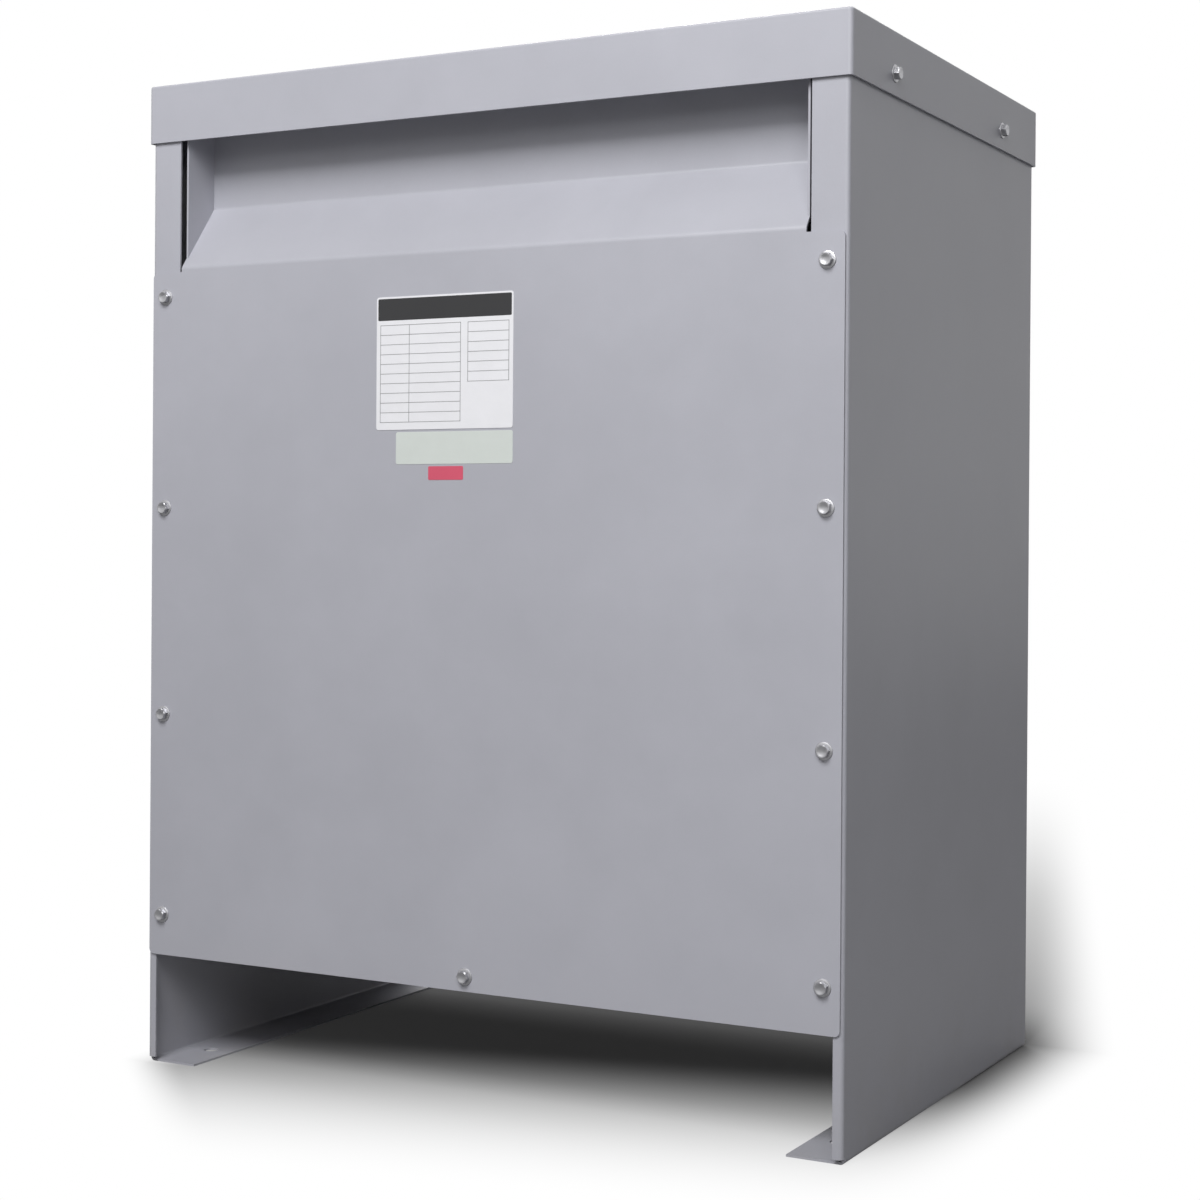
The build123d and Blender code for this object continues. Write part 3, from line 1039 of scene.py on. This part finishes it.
@dataclass(frozen=True)
class Winding:
    """A coil of turns that show as ridges, between plain ends."""

    finishes: Finishes
    kind: str
    turn: float
    groove: float
    corner: float
    build_up: float = 16.0 * MM
    end_wrap: float = 7.0 * MM
    edge: float = 0.8 * MM
    end_gap: float = 0.1 * MM
    layer_step: float = 0.35 * MM
    layers: int = 7
    per_turn: int = 4

    def wall(self, low: float, high: float) -> tuple[np.ndarray, np.ndarray]:
        """The outer wall: plain wraps at both ends and rounded turns between them.

        Across a turn the wall falls in from the crest by the groove's depth times the
        fourth power of the distance from the turn's middle.

        Args:
            low: the foot of the coil.
            high: the top of the coil.

        Returns:
            How far each ring lies outside the coil's box, and its height.
        """
        foot, top = low + self.end_wrap, high - self.end_wrap
        turns = max(1, round((top - foot) / self.turn))
        share = np.arange(turns * self.per_turn + 1) / self.per_turn
        across = 2.0 * (share % 1.0) - 1.0
        grow = np.concatenate([[-self.edge, 0.0, 0.0], -self.groove * across ** 4, [0.0, 0.0, -self.edge]])
        height = np.concatenate([
            [low, low + self.edge, foot - self.end_gap], foot + share * (top - foot) / turns,
            [top + self.end_gap, high - self.edge, high],
        ])
        return grow, height

    def skin(self, node: str) -> Surface:
        """Works out the coil in the place of a solid.

        The section goes up the outer wall, in over the top, down the inner wall and
        out under the foot, and is carried round the coil's rounded outline.

        Args:
            node: the solid.

        Returns:
            The coil's skin.
        """
        low, high = (corner.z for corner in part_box(node))
        grow, height = self.wall(low, high)
        layers = np.linspace(0.0, 1.0, self.layers + 2)[1:-1]
        step = self.layer_step * (np.arange(self.layers) % 2)
        inner = np.full(2, -self.build_up)
        grow = np.concatenate([grow, -self.build_up * layers, inner, -self.build_up * layers[::-1]])
        height = np.concatenate([height, high - step, [high, low], low + step[::-1]])
        return round_coil(node, self.corner, grow, height)

    def build(self) -> None:
        """Makes the coil of each phase in the place of its solid."""
        for phase in PHASES:
            node = f"{self.kind}_winding_{phase}"
            piece = self.finishes.piece(f"{node}_turns", [self.skin(node)], f"{self.kind}_coil")
            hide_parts(node)


@dataclass(frozen=True)
class CoilTapes:
    """Tape bands round each outer coil, above and below its tap board."""

    finishes: Finishes
    heights: tuple[float, ...] = (315.0 * MM, 536.0 * MM)
    width: float = 19.0 * MM
    thick: float = 0.5 * MM
    sunk: float = 0.3 * MM
    corner: float = 58.0 * MM

    def band(self, node: str, height: float) -> Surface:
        """A band: up its outer face and down its inner one, round the coil's outline."""
        grow, rise = np.array([[-self.sunk, self.thick, self.thick, -self.sunk], [-1.0, -0.97, 0.97, 1.0]])
        return round_coil(node, self.corner, grow, height + self.width / 2 * rise)

    def build(self) -> None:
        """Makes the bands of each phase as one piece."""
        for phase in PHASES:
            bands = [self.band(f"outer_winding_{phase}", height) for height in self.heights]
            self.finishes.piece(f"coil_tapes_{phase}", bands, "coil_tape")


@dataclass(frozen=True)
class TapStuds:
    """The studs and nuts of each tap board, with one link and stiff sleeved leads."""

    finishes: Finishes
    stud: Fastener = Fastener(6.0 * MM)
    count: int = 6
    pitch: float = 28.0 * MM
    nut_turn: float = 0.7
    link_width: float = 13.0 * MM
    link_thick: float = 1.6 * MM
    lead_radius: float = 2.3 * MM
    lead_reach: float = 33.0 * MM
    lead_start: float = 5.5 * MM
    lead_sunk: float = 1.5 * MM
    lead_drop: float = 6.0 * MM
    lead_rise: float = 0.45
    lead_points: int = 17

    def heights(self, node: str) -> np.ndarray:
        """The height of each stud, evenly about the middle of the board."""
        return middle(node)[2] + (np.arange(self.count) - (self.count - 1) / 2) * self.pitch

    def nuts(self, node: str) -> list[Surface]:
        """A nut on every stud, the middle two on the link.

        Args:
            node: the board.

        Returns:
            The nuts' skins.
        """
        x, face = middle(node)[0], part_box(node)[0].y
        linked = (self.count // 2 - 1, self.count // 2)
        parts: list[Surface] = []
        for order, z in enumerate(self.heights(node)):
            y = face - self.link_thick if order in linked else face
            parts.append(self.stud.nut().spun(self.nut_turn * order).faced(Facing.FRONT).moved((x, y, z)))
        return parts

    def link(self, node: str) -> Surface:
        """The link between the two studs in the middle."""
        bar = plate(self.link_width, self.pitch + self.link_width, self.link_width / 2, self.link_thick)
        return bar.faced(Facing.FRONT).moved((middle(node)[0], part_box(node)[0].y, middle(node)[2]))

    def lead(self, node: str, height: float, way: float) -> Surface:
        """A lead from the coil's face, out and over the board's edge to its stud.

        Its middle line closes in on the stud by a power of the way that is left. It
        stands out by half a turn's cosine over the first part and is level after that.

        Args:
            node: the board.
            height: the height of its stud.
            way: 1 if it comes from the right, -1 if from the left.

        Returns:
            The lead's skin.
        """
        low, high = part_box(node)
        share = np.linspace(0.0, 1.0, self.lead_points)
        across = self.lead_reach * (1.0 - share) ** 1.3 + self.lead_start
        out = 0.5 - 0.5 * np.cos(math.pi * np.minimum(share / self.lead_rise, 1.0))
        depth = high.y + self.lead_sunk - out * (high.y - low.y + self.lead_sunk + self.lead_radius)
        drop = self.lead_drop * np.sin(math.pi * share) * (1.0 - share)
        path = np.stack([middle(node)[0] + way * across, depth, height - drop], axis=-1)
        return carried_along(path, self.lead_radius)

    def build(self) -> None:
        """Makes the studs, links and leads of each phase."""
        for phase in PHASES:
            node = f"tap_board_{phase}"
            spots = enumerate(self.heights(node))
            leads = [self.lead(node, z, 1.0 if order % 2 else -1.0) for order, z in spots]
            self.finishes.piece(f"tap_nuts_{phase}", self.nuts(node), "rod_steel")
            self.finishes.piece(f"tap_link_{phase}", [self.link(node)], "bar_metal")
            self.finishes.piece(f"tap_leads_{phase}", leads, "lead_sleeve")


@dataclass(frozen=True)
class NeutralBolts:
    """The bolts that join the neutral bar's legs to its cross bar."""

    finishes: Finishes
    bolt: Fastener = Fastener(8.0 * MM)
    thick: float = 4.0 * MM
    rise: float = 12.5 * MM
    nut_turn: float = 0.3

    def build(self) -> None:
        """Makes a head behind and a nut before the bar at each leg."""
        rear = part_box("neutral_bar")[1].y
        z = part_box("upper_rear_clamp")[1].z + self.rise
        parts: list[Surface] = []
        for phase in PHASES:
            x = middle(f"core_{phase}_limb")[0]
            parts.append(self.bolt.head().spun(x).faced(Facing.REAR).moved((x, rear, z)))
            nut = self.bolt.nut().spun(x + self.nut_turn).faced(Facing.FRONT)
            parts.append(nut.moved((x, rear - self.thick, z)))
        self.finishes.piece("neutral_bolts", parts, "rod_steel")


@dataclass(frozen=True)
class Lamp:
    """A soft square lamp; its azimuth runs from the front towards the right, in degrees."""

    name: str
    azimuth: float
    height: float
    size: float
    power: float
    distance: float = 2.8

    def hang(self, aim: Vector) -> None:
        """Hangs the lamp in its direction from a point that it faces.

        Args:
            aim: the point.
        """
        around, up = math.radians(self.azimuth), math.radians(self.height)
        way = Vector((math.sin(around) * math.cos(up), -math.cos(around) * math.cos(up), math.sin(up)))
        data = bpy.data.lights.new(self.name, "AREA")
        data.shape = "SQUARE"
        data.size = self.size
        data.energy = self.power
        obj = bpy.data.objects.new(self.name, data)
        turn = way.to_track_quat("Z", "Y").to_matrix().to_4x4()
        obj.matrix_world = Matrix.Translation(aim + self.distance * way) @ turn
        obj.visible_camera = False
        bpy.context.scene.collection.objects.link(obj)


@dataclass(frozen=True)
class Studio:
    """A floor with a painted shadow, soft lamps and the camera at the photograph's angle."""

    camera_at: Point = (1.0039, -1.8670, 0.5006)
    yaw: float = 28.269
    pitch: float = -0.113
    roll: float = 0.399
    focal_share: float = 2190.7 / 1200.0
    sensor: float = 36.0
    shift_up: float = -0.05
    far_clip: float = 100.0
    floor_size: float = 14.0
    floor_bounce: float = 0.40
    floor_seen: float = 0.42
    # The floor's painted shadow: a darker floor colour under the object, and fades and leans that shape
    # where the floor stays matt instead of white, like a cast shadow.
    floor_painted_shadow: float = 0.16
    painted_shadow_fade: Span = (0.0, 0.20)
    painted_shadow_depth: float = 0.98
    fade_left: Span = (-0.045, 0.03)
    fade_right: Span = (-0.01, 0.09)
    fade_front: Span = (-0.24, 0.22)
    fade_rear: float = 1.20
    rear_end: Span = (0.70, 2.40)
    front_lean: float = 0.25
    rear_lean: float = 0.30
    sky_fill: float = 0.06
    front_lamps: tuple[Lamp, ...] = (
        Lamp("key", azimuth=4.0, height=45.0, size=1.2, power=76.0),
        Lamp("right_fill", azimuth=35.0, height=25.0, size=1.1, power=18.5),
    )
    rear_lamps: tuple[Lamp, ...] = (Lamp("rear_fill", azimuth=205.0, height=32.0, size=1.2, power=62.0),)
    aim_height: float = 0.55

    def camera(self) -> None:
        """Makes the camera: turned left by the yaw, then tilted and rolled."""
        data = bpy.data.cameras.new("camera")
        data.sensor_width = self.sensor
        data.lens = self.sensor * self.focal_share
        data.shift_y = self.shift_up
        data.clip_end = self.far_clip
        obj = bpy.data.objects.new("camera", data)
        turn = Matrix.Rotation(math.radians(self.yaw), 4, "Z")
        tilt = Matrix.Rotation(math.radians(90.0 + self.pitch), 4, "X")
        bank = Matrix.Rotation(math.radians(self.roll), 4, "Z")
        obj.matrix_world = Matrix.Translation(Vector(self.camera_at)) @ turn @ tilt @ bank
        bpy.context.scene.collection.objects.link(obj)
        bpy.context.scene.camera = obj

    def painted_shadow_share(self, x: Wire, y: Wire, behind: Wire) -> Wire:
        """The painted shadow's share, from fades at the object's left, right, front and rear.

        The painted shadow leans back to the left, away from the lamps, as a cast shadow would, and its
        front runs aslant.

        Args:
            x: how far to the right a point of the floor lies.
            y: how far back it lies.
            behind: how far it lies behind the object, 0 before that.

        Returns:
            1 under the object and 0 where the floor is plain white.
        """
        low, high = CAD_BOX
        fades = (
            (low[0] - x + (low[1] - y).at_least(0.0), self.fade_left),
            (x - high[0] + behind * self.rear_lean, self.fade_right),
            (low[1] - y + x * self.front_lean, self.fade_front),
            (behind, self.rear_end),
        )
        return math.prod(1.0 - past.step(*span) for past, span in fades)

    def floor(self) -> None:
        """Makes the floor: near the object it shows the lamps' own shading, darkened further by a painted
        shadow, and it fades to white around it.

        Bouncing light meets a duller floor, and the floor can't be seen from below.
        """
        material = bpy.data.materials.new("floor")
        g = Graph(material)
        x, y, _ = g.axes()
        behind = (y - CAD_BOX[1][1]).at_least(0.0)
        painted_shadow_share = self.painted_shadow_share(x, y, behind)
        # Painted shadow: where this share is high, the floor stays matt and shows grey under the lamps
        # instead of white.
        shadow = painted_shadow_share * (self.painted_shadow_depth * self.fade_rear) / (behind + self.fade_rear)
        direct = g.rays("Is Camera Ray", "Is Transmission Ray")
        seen = direct.at_least(g.rays("Is Glossy Ray"))
        # Painted shadow: a darker floor colour under the object's footprint, for direct rays.
        under = painted_shadow_share * (1.0 - behind.step(*self.painted_shadow_fade)) * direct
        levels = (self.floor_bounce, self.floor_seen, self.floor_painted_shadow)
        bounce, lit, dark = ((level,) * 3 for level in levels)
        colour = g.colour(seen, bounce, g.colour(under, lit, dark))
        matt = g.add("BsdfDiffuse", {"Color": colour})
        white = g.add("Emission", {"Color": WHITE, "Strength": 1.0})
        mix = g.add("MixShader", {0: (1.0 - shadow) * direct, 1: matt, 2: white})
        back = g.add("NewGeometry", output="Backfacing")
        clear = g.add("BsdfTransparent")
        g.show(g.add("MixShader", {0: back, 1: mix, 2: clear}))
        half = self.floor_size / 2
        points = np.array([(-half, -half, 0.0), (half, -half, 0.0), (half, half, 0.0), (-half, half, 0.0)])
        skin = Surface(points, np.array([(0, 1, 2, 3)]), np.zeros((0, 3), dtype=int))
        mesh_object("floor", skin, material)

    def world(self) -> None:
        """Makes an even sky: white where it is seen, a soft fill on the object."""
        world = bpy.data.worlds.new("world")
        bpy.context.scene.world = world
        g = Graph(world)
        seen = g.rays("Is Camera Ray", "Is Glossy Ray", "Is Transmission Ray")
        strength = seen * (1.0 - self.sky_fill) + self.sky_fill
        sky = g.add("Background", {"Color": WHITE, "Strength": strength})
        g.show(sky, "World")

    def build(self) -> None:
        """Makes the whole studio."""
        self.camera()
        self.floor()
        self.world()
        low, high = CAD_BOX
        for face, lamps in ((low[1], self.front_lamps), (high[1], self.rear_lamps)):
            for lamp in lamps:
                lamp.hang(Vector((0.0, face, self.aim_height)))
        bpy.context.scene.view_settings.view_transform = "Standard"


def main() -> None:
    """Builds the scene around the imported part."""
    logging.basicConfig(level=logging.INFO, format="%(name)s: %(message)s")
    finishes = Finishes.make()
    finishes.dress_solids()
    CaseScrews(finishes).build()
    RatingLabel(finishes).build()
    CoreBolts(finishes).build()
    Winding(finishes, "inner", turn=6.2 * MM, groove=1.1 * MM, corner=30.0 * MM).build()
    Winding(finishes, "outer", turn=3.4 * MM, groove=0.7 * MM, corner=58.0 * MM).build()
    CoilTapes(finishes).build()
    TapStuds(finishes).build()
    NeutralBolts(finishes).build()
    Studio().build()


if __name__ == "__main__":
    main()
